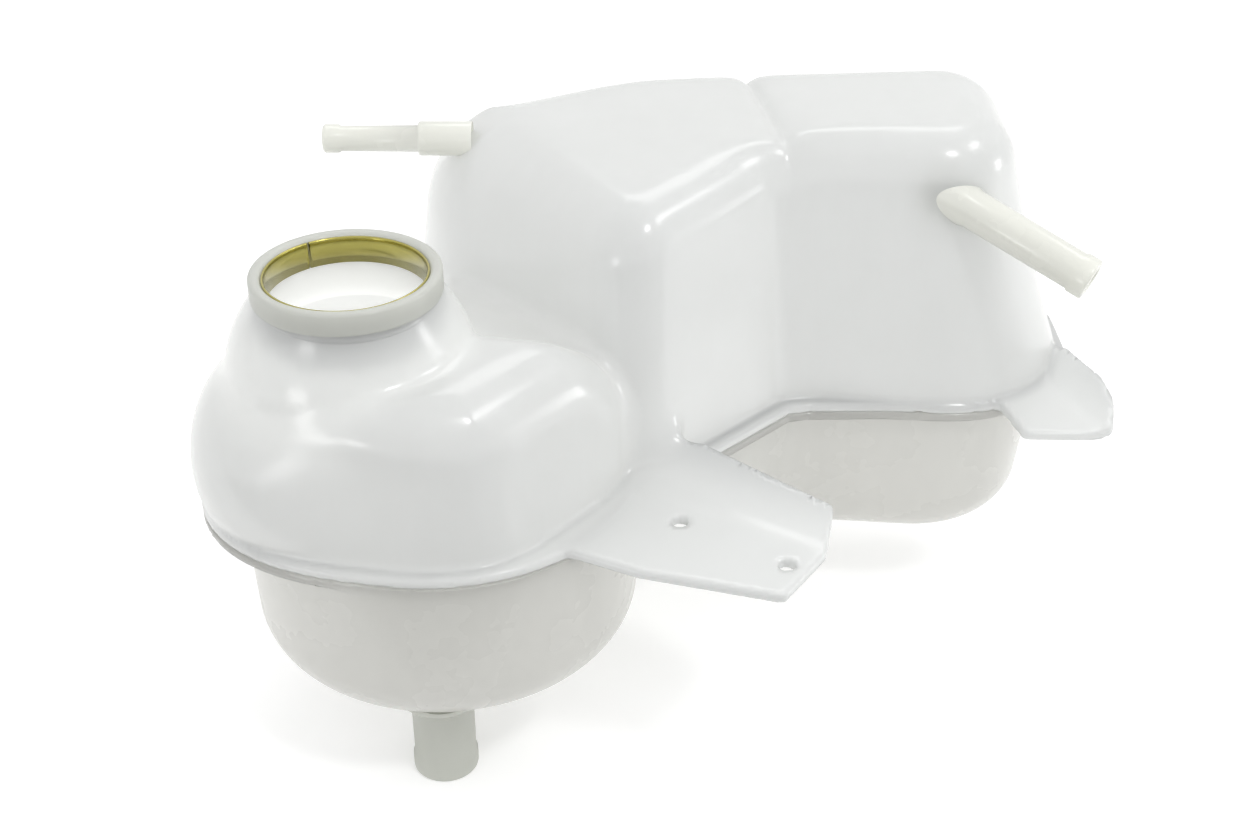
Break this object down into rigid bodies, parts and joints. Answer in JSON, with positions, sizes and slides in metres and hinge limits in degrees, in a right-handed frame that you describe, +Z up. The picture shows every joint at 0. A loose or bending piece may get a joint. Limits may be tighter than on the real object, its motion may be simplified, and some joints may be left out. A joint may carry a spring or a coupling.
{
  "type": "coolant expansion tank",
  "caption": "Milky plastic coolant expansion tank with a round filler dome, a stepped rear chamber, hose spigots and fixing brackets.",
  "frame": {"origin": "centre of the filler neck's bore, at the level of its rim", "axes": "+Z up along the neck's axis, +X right along the tank's length, +Y toward the tank's back"},
  "size_m": [0.2805, 0.181, 0.1784],
  "materials": {
    "natural_plastic": "milky, translucent, satin",
    "gilt_ring": "smooth, passivated yellow"
  },
  "bodies": {
    "root": {"upper_shell": "natural_plastic", "lower_shell": "natural_plastic", "neck_ring": "gilt_ring"}
  },
  "joints": []
}
